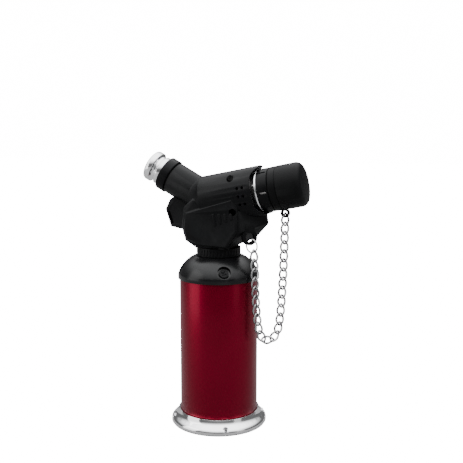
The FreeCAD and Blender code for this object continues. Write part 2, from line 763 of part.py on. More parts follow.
def make_burner():
    bore = guard_r - guard_wall
    guard = pipe(guard_r, bore, guard_front_s - guard_back_s, V(0, 0, guard_back_s))
    guard = guard.fuse(pipe(bore + 0.2, bore - 0.5, 0.8, V(0, 0, guard_front_s - 0.8))).removeSplitter()
    for cutter in slot_cutters(guard_r + 2, bore - 2, 30):
        guard = guard.cut(cutter)
    parts["nozzle_guard"] = on_nozzle(guard)
    ceramic = rod(insulator_r, 13.6, V(-electrode_up, electrode_side, plate_s - 0.8))
    spark = V(-electrode_up, electrode_side, plate_s)
    parts["insulator"] = on_nozzle(ceramic.cut(rod(electrode_r, 30, spark)))
    parts["spark_electrode"] = on_nozzle(rod(electrode_r, 20, spark))
    plate = rod(bore, plate_h, V(0, 0, plate_s)).cut(rod(jet_r, 20, V(0, 0, plate_s - 5)))
    parts["burner_plate"] = on_nozzle(plate.cut(rod(insulator_r, 20, spark - V(0, 0, 5))))
    jet = joined(rod(jet_r, 6.0, V(0, 0, jet_back_s + 1.1)), rod(hose_r, 1.2, V(0, 0, jet_back_s)))
    parts["gas_jet"] = on_nozzle(jet.cut(rod(0.3, 20, V(0, 0, jet_back_s - 1))))
    mixer_foot = plate_s + plate_h
    mixer = pipe(mixing_r, mixing_r - mixing_wall, flame_tube_back_s + 1 - mixer_foot, V(0, 0, mixer_foot))
    mixer = mixer.cut(rod(0.9, 20, V(-10, 0, mixer_foot + 2.2), V(1, 0, 0)))
    mixer = mixer.cut(rod(0.9, 20, V(0, -10, mixer_foot + 2.2), ACROSS))
    parts["mixing_tube"] = on_nozzle(mixer)
    inner = flame_tube_r - flame_tube_wall
    flame = pipe(flame_tube_r, inner, 12.9, V(0, 0, flame_tube_back_s))
    back = pipe(flame_tube_r, mixing_r, 1.0, V(0, 0, flame_tube_back_s))
    parts["flame_tube"] = on_nozzle(joined(flame, back))
    disc = rod(inner - 0.03, 1.2, V(0, 0, flame_tube_back_s + 2.6))
    disc = disc.cut(rod(0.9, 5, V(0, 0, flame_tube_back_s + 1)))
    for angle in around(6):
        a = math.radians(angle)
        spot = V(3.2 * math.cos(a), 3.2 * math.sin(a), flame_tube_back_s + 1)
        disc = disc.cut(rod(0.8, 5, spot))
    parts["flame_holder"] = on_nozzle(disc)
    parts["nozzle_ring"] = on_nozzle(pipe(trim_ring_r, guard_r, trim_ring_h, V(0, 0, trim_ring_s)))


def slot_cutters(outer, inner, offset_deg):
    """Round-ended slots through a sleeve on the nozzle's axis, one of them just below the near side."""
    low = air_collar_back_s + 1.1
    high = air_collar_front_s - 1.1
    half = air_slot_w / 2
    cutters = []
    for angle in around(air_slots, -85.0 + offset_deg):
        bar = block(inner, outer, -half, half, low, high)
        ends = [rod(half, outer - inner, V(inner, 0, z), V(1, 0, 0)) for z in (low, high)]
        bar = joined(bar, *ends)
        bar.rotate(V(0, 0, 0), UP, angle)
        cutters.append(bar)
    return cutters


def make_air_collar():
    length = air_collar_front_s - air_collar_back_s
    sleeve = pipe(air_collar_r, guard_r + slide_gap, length, V(0, 0, air_collar_back_s))
    rims = [e for e in sleeve.Edges if abs(e.Length - 2 * math.pi * air_collar_r) < 0.01]
    sleeve = sleeve.makeChamfer(0.3, rims)
    for cutter in slot_cutters(air_collar_r + 2, guard_r - 2, 0):
        sleeve = sleeve.cut(cutter)
    parts["air_collar"] = on_nozzle(sleeve)


# ---- cap
cap_bore_r = guard_r + cap_gap
cap_round = 3.2


def make_cap():
    r = cap_r
    end = cap_front_s
    g = cap_groove_s
    k = cap_round * (1 - math.sqrt(0.5))
    lines = [V(0, 0, end + 0.5), V(r - cap_round, 0, end)]
    arc = Part.Arc(V(r - cap_round, 0, end), V(r - k, 0, end - k), V(r, 0, end - cap_round)).toShape()
    crown = Part.Arc(lines[0], V((r - cap_round) / 2, 0, end + 0.38), lines[1]).toShape()
    side = [V(r, 0, end - cap_round), V(r, 0, g + 0.3), V(r - 0.4, 0, g + 0.1), V(r - 0.4, 0, g - 0.2),
            V(r - 0.1, 0, g - 0.4), V(r - 0.1, 0, cap_back_s + 0.4), V(r - 0.4, 0, cap_back_s),
            V(cap_bore_r + 0.3, 0, cap_back_s), V(cap_bore_r, 0, cap_back_s + 0.3),
            V(cap_bore_r, 0, end - cap_wall), V(0, 0, end - cap_wall), V(0, 0, end + 0.5)]
    edges = [crown, arc] + [Part.makeLine(a, b) for a, b in zip(side, side[1:])]
    cap = Part.Face(Part.Wire(edges)).revolve(V(0, 0, 0), UP, 360)
    drop = cap_r + lug_drop
    ear = rod(lug_r, lug_thick, V(drop, -lug_thick / 2, lug_s), ACROSS)
    neck = block(cap_bore_r + 0.7, drop, -lug_thick / 2, lug_thick / 2, lug_s - 1.5, lug_s + 1.5)
    cap = joined(cap, ear, neck)
    cap = cap.cut(rod(lug_hole_r, 10, V(drop, -5, lug_s), ACROSS))
    parts["nozzle_cap"] = on_nozzle(cap)


# ---- chain
def chain_link():
    """One oval link about the origin, long way along Z, lying in the XZ plane."""
    bend = link_half_width - link_wire_r
    half = (link_pitch + link_play) / 2 - (bend - link_wire_r)
    side = Part.Face(Part.Wire(Part.makeCircle(link_wire_r, V(bend, 0, half), UP)))
    top = side.revolve(V(0, 0, half), V(0, -1, 0), 180)
    low_side = Part.Face(Part.Wire(Part.makeCircle(link_wire_r, V(bend, 0, -half), UP)))
    bottom = low_side.revolve(V(0, 0, -half), ACROSS, 180)
    legs = [rod(link_wire_r, 2 * half, V(x, 0, -half)) for x in (bend, -bend)]
    return joined(top, bottom, *legs)


def hanging_steps(span, rise):
    """Steps of a chain of equal links hung between two points, as (across, up) for each link."""
    def steps(sag, low):
        runs = [(i - low) / sag for i in range(link_count)]
        slopes = [x ** 3 / (x * x + link_fold) for x in runs]
        return [(link_pitch / math.hypot(1, m), link_pitch * m / math.hypot(1, m)) for m in slopes]

    def lowest(sag):
        near, far = -5.0 * link_count, 6.0 * link_count
        for _ in range(60):
            mid = (near + far) / 2
            if sum(up for _, up in steps(sag, mid)) > rise:
                near = mid
            else:
                far = mid
        return mid

    tight, loose = 0.01, 50.0
    for _ in range(60):
        sag = (tight + loose) / 2
        if sum(across for across, _ in steps(sag, lowest(sag))) < span:
            tight = sag
        else:
            loose = sag
    return steps(sag, lowest(sag))


def ring_frame():
    """Top and bottom of the split ring's wire, and the ring's normal."""
    eye = eyelet_centre()
    outward = V(eye.x, eye.y, 0)
    outward.normalize()
    down = V(0, 0, -1) + outward * ring_lean
    down.normalize()
    top = eye + V(0, 0, -eyelet_hole_r + ring_wire_r + 0.8)
    width = V(math.cos(math.radians(ring_turn)), math.sin(math.radians(ring_turn)), 0)
    normal = down.cross(width)
    normal.normalize()
    return top, top + down * (2 * ring_r), normal, down


def link_twist(i):
    """Turn of a link about its length: neighbours are square to each other, with a slow drift."""
    if i <= lowest_link:
        drift = first_twist + (low_twist - first_twist) * i / lowest_link
    else:
        drift = low_twist + (last_twist - low_twist) * (i - lowest_link) / (link_count - 1 - lowest_link)
    return math.radians(drift + 90.0 * i)


def make_chain():
    top, bottom, normal, down = ring_frame()
    parts["chain_ring"] = Part.makeTorus(ring_r, ring_wire_r, (top + bottom) * 0.5, normal)
    start = bottom - down * ring_wire_r
    end = at_nozzle(lug_s, -cap_r - lug_drop) - V(0, 0, lug_hole_r - 0.35)
    flat = V(end.x - start.x, end.y - start.y, 0)
    span = flat.Length
    flat.normalize()
    square = V(-flat.y, flat.x, 0)
    master = chain_link()
    spot = start
    links = []
    for i, (across, up) in enumerate(hanging_steps(span, end.z - start.z)):
        step = flat * across + UP * up
        along = V(step)
        along.normalize()
        twist = link_twist(i)
        face = square * math.cos(twist) + along.cross(square) * math.sin(twist)
        wide = face.cross(along)
        centre = spot + step * 0.5
        link = master.copy()
        link.Placement = FreeCAD.Placement(FreeCAD.Matrix(
            wide.x, face.x, along.x, centre.x,
            wide.y, face.y, along.y, centre.y,
            wide.z, face.z, along.z, centre.z,
            0, 0, 0, 1))
        links.append(link)
        spot = spot + step
    parts["chain_links"] = group(links)


def finish():
    os.makedirs("parts", exist_ok=True)
    for name, shape in parts.items():
        shape.exportStep("parts/" + name + ".step")
        solids = shape.Solids
        print("%-20s %2d solids  %9.2f mm3  %s" % (name, len(solids), shape.Volume, shape.isValid()))


make_base()
make_floor()
make_tank()
make_fill_valve()
make_shoulder()
make_neck()
make_valve()
make_shells()
make_button()
make_igniter()
make_lever()
make_runs()
make_burner()
make_air_collar()
make_cap()
make_chain()
finish()
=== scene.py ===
import json
import math
import bmesh
import bpy
from mathutils import Matrix, Vector


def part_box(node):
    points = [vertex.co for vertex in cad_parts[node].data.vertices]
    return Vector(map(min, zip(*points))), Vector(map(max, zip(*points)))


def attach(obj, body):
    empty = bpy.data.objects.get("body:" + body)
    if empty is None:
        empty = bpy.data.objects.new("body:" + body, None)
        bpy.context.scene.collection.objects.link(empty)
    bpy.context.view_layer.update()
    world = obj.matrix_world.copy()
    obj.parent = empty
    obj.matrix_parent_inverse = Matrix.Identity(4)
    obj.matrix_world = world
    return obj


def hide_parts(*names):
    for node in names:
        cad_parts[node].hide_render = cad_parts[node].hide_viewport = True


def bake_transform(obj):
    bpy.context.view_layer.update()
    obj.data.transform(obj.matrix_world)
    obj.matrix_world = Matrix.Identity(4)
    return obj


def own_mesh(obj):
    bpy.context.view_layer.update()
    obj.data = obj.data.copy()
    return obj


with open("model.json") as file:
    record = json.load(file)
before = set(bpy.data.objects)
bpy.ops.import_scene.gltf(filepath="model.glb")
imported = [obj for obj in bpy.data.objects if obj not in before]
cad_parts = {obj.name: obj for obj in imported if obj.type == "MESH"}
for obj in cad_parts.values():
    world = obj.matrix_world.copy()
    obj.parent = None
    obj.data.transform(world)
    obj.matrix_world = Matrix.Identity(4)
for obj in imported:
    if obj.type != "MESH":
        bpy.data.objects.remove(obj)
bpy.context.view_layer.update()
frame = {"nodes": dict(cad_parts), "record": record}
nodes = frame["nodes"]
print("frame loaded:", len(nodes), "nodes")


# shader groups that several finishes share

wearEdges = dict(start=0.53, full=0.64, patchScale=420.0)   # pointiness, then the noise's scale
scratchBands = ((0.4, 9.0), (-1.1, 7.0))   # turn of each band and how thin it is drawn out


def newGroup(name, inputs, outputs):
    group = bpy.data.node_groups.new(name, "ShaderNodeTree")
    for label, kind, value in inputs:
        socket = group.interface.new_socket(label, in_out="INPUT", socket_type=kind)
        if value is not None:
            socket.default_value = value
    for label, kind in outputs:
        group.interface.new_socket(label, in_out="OUTPUT", socket_type=kind)
    return group, group.nodes.new("NodeGroupInput"), group.nodes.new("NodeGroupOutput")


def addNode(tree, kind, **values):
    node = tree.nodes.new(kind)
    for key, value in values.items():
        if hasattr(node, key):
            setattr(node, key, value)
        else:
            node.inputs[key].default_value = value
    return node


def addMath(tree, operation, first, second, clamp=False):
    node = tree.nodes.new("ShaderNodeMath")
    node.operation = operation
    node.use_clamp = clamp
    for socket, value in zip(node.inputs, (first, second)):
        if isinstance(value, (int, float)):
            socket.default_value = value
        else:
            tree.links.new(value, socket)
    return node.outputs[0]


def makeSmudgeGroup():
    # broad handling marks and a fine moulded or sprayed grain
    group, given, out = newGroup(
        "smudgeAndGrain",
        [("Vector", "NodeSocketVector", None), ("Smudge Scale", "NodeSocketFloat", 60.0),
         ("Grain Scale", "NodeSocketFloat", 2500.0)],
        [("Smudge", "NodeSocketFloat"), ("Grain", "NodeSocketFloat")])
    broad = addNode(group, "ShaderNodeTexNoise", Detail=5.0, Roughness=0.6, Distortion=0.6)
    fine = addNode(group, "ShaderNodeTexNoise", Detail=2.0, Roughness=0.5)
    link = group.links.new
    link(given.outputs["Vector"], broad.inputs["Vector"])
    link(given.outputs["Smudge Scale"], broad.inputs["Scale"])
    link(given.outputs["Vector"], fine.inputs["Vector"])
    link(given.outputs["Grain Scale"], fine.inputs["Scale"])
    # the noise's middle range stretched over the whole of 0 to 1
    spread = addMath(group, "MULTIPLY_ADD", broad.outputs[0], 2.2, clamp=True)
    spread.node.inputs[2].default_value = -0.6
    link(spread, out.inputs["Smudge"])
    link(fine.outputs[0], out.inputs["Grain"])
    return group


def makeWearGroup():
    # rubbed edges: the mesh's sharp outward edges, broken up by noise
    group, given, out = newGroup(
        "edgeWear",
        [("Vector", "NodeSocketVector", None), ("Amount", "NodeSocketFloat", 0.5)],
        [("Mask", "NodeSocketFloat")])
    shape = group.nodes.new("ShaderNodeNewGeometry")
    patches = addNode(group, "ShaderNodeTexNoise", Scale=wearEdges["patchScale"], Detail=3.0)
    group.links.new(given.outputs["Vector"], patches.inputs["Vector"])
    sharp = group.nodes.new("ShaderNodeMapRange")
    sharp.inputs["From Min"].default_value = wearEdges["start"]
    sharp.inputs["From Max"].default_value = wearEdges["full"]
    group.links.new(shape.outputs["Pointiness"], sharp.inputs["Value"])
    broken = addMath(group, "MULTIPLY", sharp.outputs[0], patches.outputs[0])
    worn = addMath(group, "MULTIPLY", broken, given.outputs["Amount"], clamp=True)
    group.links.new(worn, out.inputs["Mask"])
    return group


def makeScratchGroup():
    # hairline scratches: two thin bands of stretched noise crossing each other
    group, given, out = newGroup(
        "hairlines",
        [("Vector", "NodeSocketVector", None), ("Scale", "NodeSocketFloat", 160.0),
         ("Width", "NodeSocketFloat", 0.012)],
        [("Mask", "NodeSocketFloat")])
    masks = []
    for turn, squeeze in scratchBands:
        place = addNode(group, "ShaderNodeMapping", Rotation=(0.3, turn, turn * 0.5),
                        Scale=(1.0, squeeze, 1.0))
        lines = addNode(group, "ShaderNodeTexNoise", Detail=1.0)
        group.links.new(given.outputs["Vector"], place.inputs["Vector"])
        group.links.new(place.outputs[0], lines.inputs["Vector"])
        group.links.new(given.outputs["Scale"], lines.inputs["Scale"])
        off = addMath(group, "ABSOLUTE", addMath(group, "SUBTRACT", lines.outputs[0], 0.5), 0.0)
        masks.append(addMath(group, "LESS_THAN", off, given.outputs["Width"]))
    group.links.new(addMath(group, "MULTIPLY", masks[0], masks[1]), out.inputs["Mask"])
    return group


smudgeGroup = makeSmudgeGroup()
wearGroup = makeWearGroup()
scratchGroup = makeScratchGroup()
print("shader groups made")


# finishes, each built from its own dictionary

def useGroup(tree, group, vector, **values):
    node = tree.nodes.new("ShaderNodeGroup")
    node.node_tree = group
    tree.links.new(vector, node.inputs["Vector"])
    for key, value in values.items():
        node.inputs[key].default_value = value
    return node


def mixColour(tree, factor, first, second):
    node = tree.nodes.new("ShaderNodeMix")
    node.data_type = "RGBA"
    tree.links.new(factor, node.inputs["Factor"])
    for socket, value in ((node.inputs[6], first), (node.inputs[7], second)):
        if isinstance(value, tuple):
            socket.default_value = (*value, 1.0)
        else:
            tree.links.new(value, socket)
    return node.outputs[2]


def mapValue(tree, value, low, high):
    node = tree.nodes.new("ShaderNodeMapRange")
    tree.links.new(value, node.inputs["Value"])
    node.inputs["To Min"].default_value = low
    node.inputs["To Max"].default_value = high
    return node.outputs[0]


flakeShare = 0.55     # how much of the flake's colour the brightest flake shows
scratchRough = 0.12   # roughness that a hairline adds
grainDepth = 0.00005  # height of the grain, in metres


# one finish from its dictionary of colours and values
def makeFinish(name, look):
    material = bpy.data.materials.new(name)
    material.use_nodes = True
    tree = material.node_tree
    shader = tree.nodes["Principled BSDF"]
    place = tree.nodes.new("ShaderNodeTexCoord").outputs["Object"]
    scales = {"Smudge Scale": look["smudge"], "Grain Scale": look["grain"]}
    marks = useGroup(tree, smudgeGroup, place, **scales)
    colour = mixColour(tree, marks.outputs["Smudge"], look["dark"], look["light"])
    if look.get("speckle"):
        flakes = addNode(tree, "ShaderNodeTexVoronoi", Scale=look["speckle"])
        tree.links.new(place, flakes.inputs["Vector"])
        share = mapValue(tree, flakes.outputs["Color"], 0.0, flakeShare)
        colour = mixColour(tree, share, colour, look["flake"])
    if look.get("wear"):
        wear = useGroup(tree, wearGroup, place, Amount=look["wear"])
        colour = mixColour(tree, wear.outputs["Mask"], colour, look["bare"])
    rough = mapValue(tree, marks.outputs["Smudge"], *look["rough"])
    if look.get("scratches"):
        lines = useGroup(tree, scratchGroup, place, Scale=look["scratches"])
        added = addMath(tree, "MULTIPLY", lines.outputs["Mask"], scratchRough)
        rough = addMath(tree, "ADD", rough, added, clamp=True)
    tree.links.new(colour, shader.inputs["Base Color"])
    tree.links.new(rough, shader.inputs["Roughness"])
    shader.inputs["Metallic"].default_value = look.get("metallic", 0.0)
    shader.inputs["Coat Weight"].default_value = look.get("coat", 0.0)
    shader.inputs["Coat Roughness"].default_value = look.get("coatRough", 0.05)
    shader.inputs["Specular IOR Level"].default_value = look.get("gloss", 0.5)
    bump = tree.nodes.new("ShaderNodeBump")
    bump.inputs["Strength"].default_value = look["bump"]
    bump.inputs["Distance"].default_value = grainDepth
    height = marks.outputs["Grain"]
    if look.get("turned"):
        # fine rings left by turning, square to the axis the stretch leaves alone
        stretch = addNode(tree, "ShaderNodeMapping", Scale=look["turned"])
        rings = addNode(tree, "ShaderNodeTexNoise", Scale=1.0, Detail=3.0)
        tree.links.new(place, stretch.inputs["Vector"])
        tree.links.new(stretch.outputs[0], rings.inputs["Vector"])
        height = addMath(tree, "ADD", height, rings.outputs[0])
    tree.links.new(height, bump.inputs["Height"])
    tree.links.new(bump.outputs[0], shader.inputs["Normal"])
    return material


finishLooks = {
    "tankRed": dict(dark=(0.150, 0.0, 0.0105), light=(0.195, 0.0, 0.0160),
        flake=(0.235, 0.0004, 0.021), speckle=6500.0, smudge=26.0, grain=1400.0, rough=(0.34, 0.42),
        metallic=0.92, coat=0.12, coatRough=0.18, gloss=0.2, bump=0.03),
    "headBlack": dict(dark=(0.0022, 0.0022, 0.0026), light=(0.0042, 0.0042, 0.0048),
        bare=(0.035, 0.035, 0.036), wear=0.35, smudge=70.0, grain=3800.0, rough=(0.34, 0.44),
        gloss=0.10, scratches=190.0, bump=0.18),
    "domeBlack": dict(dark=(0.0022, 0.0022, 0.0026), light=(0.0040, 0.0040, 0.0046),
        bare=(0.035, 0.035, 0.036), wear=0.3, smudge=60.0, grain=3000.0, rough=(0.22, 0.32),
        gloss=0.26, scratches=150.0, bump=0.10),
    "capBlack": dict(dark=(0.0026, 0.0026, 0.0029), light=(0.0046, 0.0046, 0.0050),
        bare=(0.03, 0.03, 0.03), wear=0.3, smudge=85.0, grain=5200.0, rough=(0.40, 0.52),
        gloss=0.08, bump=0.22),
    "chrome": dict(dark=(0.80, 0.80, 0.81), light=(0.92, 0.92, 0.93), smudge=90.0, grain=2400.0,
        rough=(0.07, 0.16), metallic=1.0, scratches=260.0, bump=0.015),
    "chainSteel": dict(dark=(0.28, 0.28, 0.285), light=(0.50, 0.50, 0.50), smudge=300.0,
        grain=5000.0, rough=(0.10, 0.20), metallic=1.0, bump=0.06),
    "guardSteel": dict(dark=(0.40, 0.39, 0.38), light=(0.55, 0.54, 0.53), smudge=140.0,
        grain=2600.0, rough=(0.24, 0.36), metallic=1.0, scratches=240.0, bump=0.08,
        turned=(150.0, 150.0, 150.0)),
    "flameSteel": dict(dark=(0.20, 0.15, 0.16), light=(0.48, 0.42, 0.36), smudge=180.0,
        grain=2600.0, rough=(0.3, 0.45), metallic=1.0, bump=0.10),
    "screwSteel": dict(dark=(0.34, 0.34, 0.35), light=(0.52, 0.52, 0.53), bare=(0.75, 0.75, 0.75),
        wear=0.6, smudge=220.0, grain=4200.0, rough=(0.22, 0.36), metallic=1.0, bump=0.10),
    "blackScrew": dict(dark=(0.003, 0.003, 0.0034), light=(0.006, 0.006, 0.0065),
        bare=(0.06, 0.06, 0.06), wear=0.4, smudge=220.0, grain=4200.0, rough=(0.34, 0.46),
        metallic=0.2, gloss=0.12, bump=0.12),
    "springSteel": dict(dark=(0.45, 0.45, 0.46), light=(0.62, 0.62, 0.62), smudge=260.0,
        grain=3000.0, rough=(0.2, 0.3), metallic=1.0, bump=0.05),
    "turnedBrass": dict(dark=(0.52, 0.34, 0.11), light=(0.68, 0.47, 0.17), bare=(0.85, 0.66, 0.32),
        wear=0.5, smudge=120.0, grain=2600.0, rough=(0.2, 0.34), metallic=1.0, bump=0.06,
        turned=(60.0, 60.0, 1800.0)),
    "innerAlloy": dict(dark=(0.55, 0.55, 0.56), light=(0.68, 0.68, 0.69), smudge=100.0,
        grain=2200.0, rough=(0.3, 0.42), metallic=1.0, bump=0.08),
    "innerPlastic": dict(dark=(0.016, 0.016, 0.017), light=(0.026, 0.026, 0.027), smudge=90.0,
        grain=3600.0, rough=(0.5, 0.62), bump=0.25),
    "dipPlastic": dict(dark=(0.60, 0.59, 0.54), light=(0.72, 0.71, 0.67), smudge=90.0, grain=1800.0,
        rough=(0.25, 0.35), bump=0.04),
    "sealRubber": dict(dark=(0.012, 0.012, 0.012), light=(0.022, 0.022, 0.022), smudge=160.0,
        grain=4200.0, rough=(0.65, 0.8), bump=0.30),
    "ceramic": dict(dark=(0.66, 0.64, 0.58), light=(0.78, 0.76, 0.71), smudge=200.0, grain=3600.0,
        rough=(0.3, 0.45), bump=0.08),
    "leadSheath": dict(dark=(0.09, 0.012, 0.012), light=(0.13, 0.02, 0.02), smudge=200.0,
        grain=3000.0, rough=(0.45, 0.6), bump=0.15),
}
finishes = {name: makeFinish(name, look) for name, look in finishLooks.items()}
print("finishes made:", len(finishes))

slotFinish = {
    "tank_red": "tankRed", "head_black": "headBlack", "chrome": "chrome", "guard_steel": "guardSteel",
    "screw_steel": "screwSteel", "spring_steel": "springSteel", "brass": "turnedBrass",
    "inner_alloy": "innerAlloy", "inner_plastic": "innerPlastic", "clear_plastic": "dipPlastic",
    "seal_rubber": "sealRubber", "ceramic": "ceramic",
    "hose_plastic": "dipPlastic", "lead_rubber": "leadSheath",
}
slotOf = {part["node"]: part["material_slot"] for part in frame["record"]["subparts"]}
for name, node in nodes.items():
    node.data.materials.clear()
    node.data.materials.append(finishes[slotFinish[slotOf[name]]])


# pieces finished from the frame's own solids
mergeDistance = 1e-6   # closer points are one
flatAngle = 0.6        # faces within this angle of each other are one flat
smoothAngle = 40.0     # sharper edges stay sharp in the shading
wireAngle = 60.0       # the same, for pieces of thin round wire


def mergedCopy(node, name):
    mesh = nodes[node].data.copy()
    mesh.name = name
    shape = bmesh.new()
    shape.from_mesh(mesh)
    bmesh.ops.remove_doubles(shape, verts=shape.verts, dist=mergeDistance)
    shape.to_mesh(mesh)
    shape.free()
    piece = bpy.data.objects.new(name, mesh)
    bpy.context.scene.collection.objects.link(piece)
    return piece


# flat faces made whole, then every edge sharper than the angle rounded over
def softEdges(piece, width, segments=2, angle=30.0):
    shape = bmesh.new()
    shape.from_mesh(piece.data)
    bmesh.ops.dissolve_limit(shape, angle_limit=math.radians(flatAngle), verts=shape.verts,
                             edges=shape.edges, use_dissolve_boundaries=False, delimit={"NORMAL"})
    shape.to_mesh(piece.data)
    shape.free()
    rounding = piece.modifiers.new("roundedEdges", "BEVEL")
    rounding.width = width
    rounding.segments = segments
    rounding.limit_method = "ANGLE"
    rounding.angle_limit = math.radians(angle)
    rounding.use_clamp_overlap = True
    rounding.harden_normals = False
    rounded = piece.evaluated_get(bpy.context.evaluated_depsgraph_get())
    applied = bpy.data.meshes.new_from_object(rounded)
    piece.modifiers.clear()
    piece.data = applied
    smoothBy(piece, smoothAngle)


def smoothBy(piece, angle):
    piece.data.shade_smooth()
    piece.data.set_sharp_from_angle(angle=math.radians(angle))


def finishPiece(piece, body, finish, *replaced):
    piece.data.materials.clear()
    piece.data.materials.append(finishes[finish])
    if body:
        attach(piece, body)
    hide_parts(*replaced)
    return piece


roundedPieces = {
    "headShellRight": dict(node="head_shell_right", body="torch", finish="headBlack", width=0.00018),
    "headShellLeft": dict(node="head_shell_left", body="torch", finish="headBlack", width=0.00018),
    "shoulderDome": dict(node="shoulder_cap", body="torch", finish="domeBlack", width=0.00022),
    "flameRing": dict(node="flame_ring", body="flame_ring", finish="headBlack", width=0.00010),
    "nozzleCap": dict(node="nozzle_cap", body="cap", finish="capBlack", width=0.00015),
    "airCollar": dict(node="air_collar", body="air_collar", finish="headBlack", width=0.00012),
    "buttonCollar": dict(node="button_collar", body="torch", finish="headBlack", width=0.00015),
    "nozzleGuard": dict(node="nozzle_guard", body="torch", finish="guardSteel", width=0.00008),
    "nozzleTrim": dict(node="nozzle_ring", body="torch", finish="chrome", width=0.00012),
    "ignitionButton": dict(node="ignition_button", body="button", finish="chrome", width=0.00020),
    "baseRing": dict(node="base_ring", body="torch", finish="chrome", width=0.00020),
    "tankSleeve": dict(node="tank_sleeve", body="torch", finish="tankRed", width=0.00015),
    "baseScrews": dict(node="base_screws", body="torch", finish="screwSteel", width=0.00006),
    "shoulderScrews": dict(node="shoulder_screws", body="torch", finish="blackScrew", width=0.00008),
    "shellScrews": dict(node="shell_screws", body="torch", finish="blackScrew", width=0.00006),
    "splitRing": dict(node="chain_ring", body="torch", finish="chainSteel", width=0.0),
    "flameTube": dict(node="flame_tube", body="torch", finish="flameSteel", width=0.00006),
    "flameHolder": dict(node="flame_holder", body="torch", finish="flameSteel", width=0.00006),
    "tankFloor": dict(node="tank_floor", body="torch", finish="innerPlastic", width=0.00012),
    "fillValve": dict(node="fill_valve_body", body="torch", finish="turnedBrass", width=0.00008),
}
for name, look in roundedPieces.items():
    piece = mergedCopy(look["node"], name)
    if look["width"]:
        softEdges(piece, look["width"])
    else:
        smoothBy(piece, wireAngle)
    finishPiece(piece, look["body"], look["finish"], look["node"])
print("rounded pieces:", len(roundedPieces))


# chain, springs and hose

chainLook = dict(wire=0.00058, halfWidth=0.00232, pitch=0.0046, play=0.0003, twist=45.0,
                 wireSides=10, steps=30,
                 ringFace=40.0, capFace=20.0, lugFace=32.0, lugTwist=58.0,
                 fixedEnd=(0.0215, -0.0078, 0.090), towardsCap=(0.99, 0.0, 0.14), cornerRun=0.0165)


# a round wire spun into a ring, drawn out into an oval and twisted end to end
def twistedLink(name, twist):
    bend = chainLook["halfWidth"] - chainLook["wire"]
    reach = (chainLook["pitch"] + chainLook["play"]) / 2 + chainLook["wire"]
    shape = bmesh.new()
    wire = bmesh.ops.create_circle(shape, segments=chainLook["wireSides"], radius=chainLook["wire"],
                                   matrix=Matrix.Translation((bend, 0.0, 0.0)))["verts"]
    bmesh.ops.spin(shape, geom=wire + shape.edges[:], cent=(0.0, 0.0, 0.0), axis=(0.0, 1.0, 0.0),
                   dvec=(0.0, 0.0, 0.0), angle=math.radians(360.0), steps=chainLook["steps"],
                   use_merge=True, use_normal_flip=False, use_duplicate=False)
    for vert in shape.verts:
        vert.co.z += (reach - bend) * math.sin(math.atan2(vert.co.z, vert.co.x))
        vert.co.rotate(Matrix.Rotation(math.radians(twist) * vert.co.z / reach, 3, "Z"))
    bmesh.ops.recalc_face_normals(shape, faces=shape.faces)
    mesh = bpy.data.meshes.new(name)
    shape.to_mesh(mesh)
    shape.free()
    return mesh


# centre and long direction of every separate link in the frame's chain
def linkPlaces(node):
    shape = bmesh.new()
    shape.from_mesh(nodes[node].data)
    bmesh.ops.remove_doubles(shape, verts=shape.verts, dist=mergeDistance)
    places = []
    for vert in shape.verts:
        vert.tag = False
    for first in shape.verts:
        if first.tag:
            continue
        first.tag = True
        link = [first]
        for vert in link:
            for edge in vert.link_edges:
                other = edge.other_vert(vert)
                if not other.tag:
                    other.tag = True
                    link.append(other)
        middle = sum((vert.co for vert in link), Vector()) / len(link)
        oneEnd = max(link, key=lambda vert: (vert.co - middle).length).co.copy()
        otherEnd = max(link, key=lambda vert: (vert.co - oneEnd).length).co.copy()
        places.append(((oneEnd + otherEnd) / 2, (oneEnd - otherEnd).normalized()))
    shape.free()
    return places


def makeChain():
    places = linkPlaces("chain_links")
    nearX = min(centre.x for centre, along in places)
    farX = max(centre.x for centre, along in places)
    plainLink = twistedLink("plainLink", chainLook["twist"])
    lugLink = twistedLink("lugLink", chainLook["lugTwist"])
    shape = bmesh.new()
    for centre, along in places:
        atLug = centre.x == farX
        share = (centre.x - nearX) / (farX - nearX)
        face = chainLook["ringFace"] + (chainLook["capFace"] - chainLook["ringFace"]) * share
        if atLug:
            face = chainLook["lugFace"]
        normal = Vector((math.sin(math.radians(face)), -math.cos(math.radians(face)), 0.0))
        wide = normal.cross(along).normalized()
        across = along.cross(wide)
        turn = Matrix((wide, across, along)).transposed().to_4x4()
        already = len(shape.verts)
        shape.from_mesh(lugLink if atLug else plainLink)
        shape.verts.ensure_lookup_table()
        place = Matrix.Translation(centre) @ turn
        bmesh.ops.transform(shape, matrix=place, verts=shape.verts[already:])
    mesh = bpy.data.meshes.new("chainLinks")
    shape.to_mesh(mesh)
    shape.free()
    piece = bpy.data.objects.new("chainLinks", mesh)
    bpy.context.scene.collection.objects.link(piece)
    smoothBy(piece, wireAngle)
    return piece


chain = makeChain()
finishPiece(chain, None, "chainSteel", "chain_links")
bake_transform(chain)


# a spring copied from its node
def sprungPiece(name, node):
    piece = mergedCopy(node, name)
    smoothBy(piece, wireAngle)
    finishPiece(piece, "torch", "springSteel", node)
    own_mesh(piece)
    return piece


# each spring's travel is its joint's, in metres
springLook = {
    "igniterSpring": dict(node="piezo_spring", joint="ignition_press", travel=0.004),
    "stemSpring": dict(node="valve_spring", joint="valve_lift", travel=0.00084),
    "fillSpring": dict(node="fill_valve_spring", joint="fill_stem_push", travel=0.0012),
}
for name, look in springLook.items():
    sprungPiece(name, look["node"])

hose = mergedCopy("gas_hose", "gasHose")
smoothBy(hose, wireAngle)
finishPiece(hose, None, "dipPlastic", "gas_hose")
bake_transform(hose)
print("chain, springs and hose made")


# raised ribs on the side panels, plain grip marks

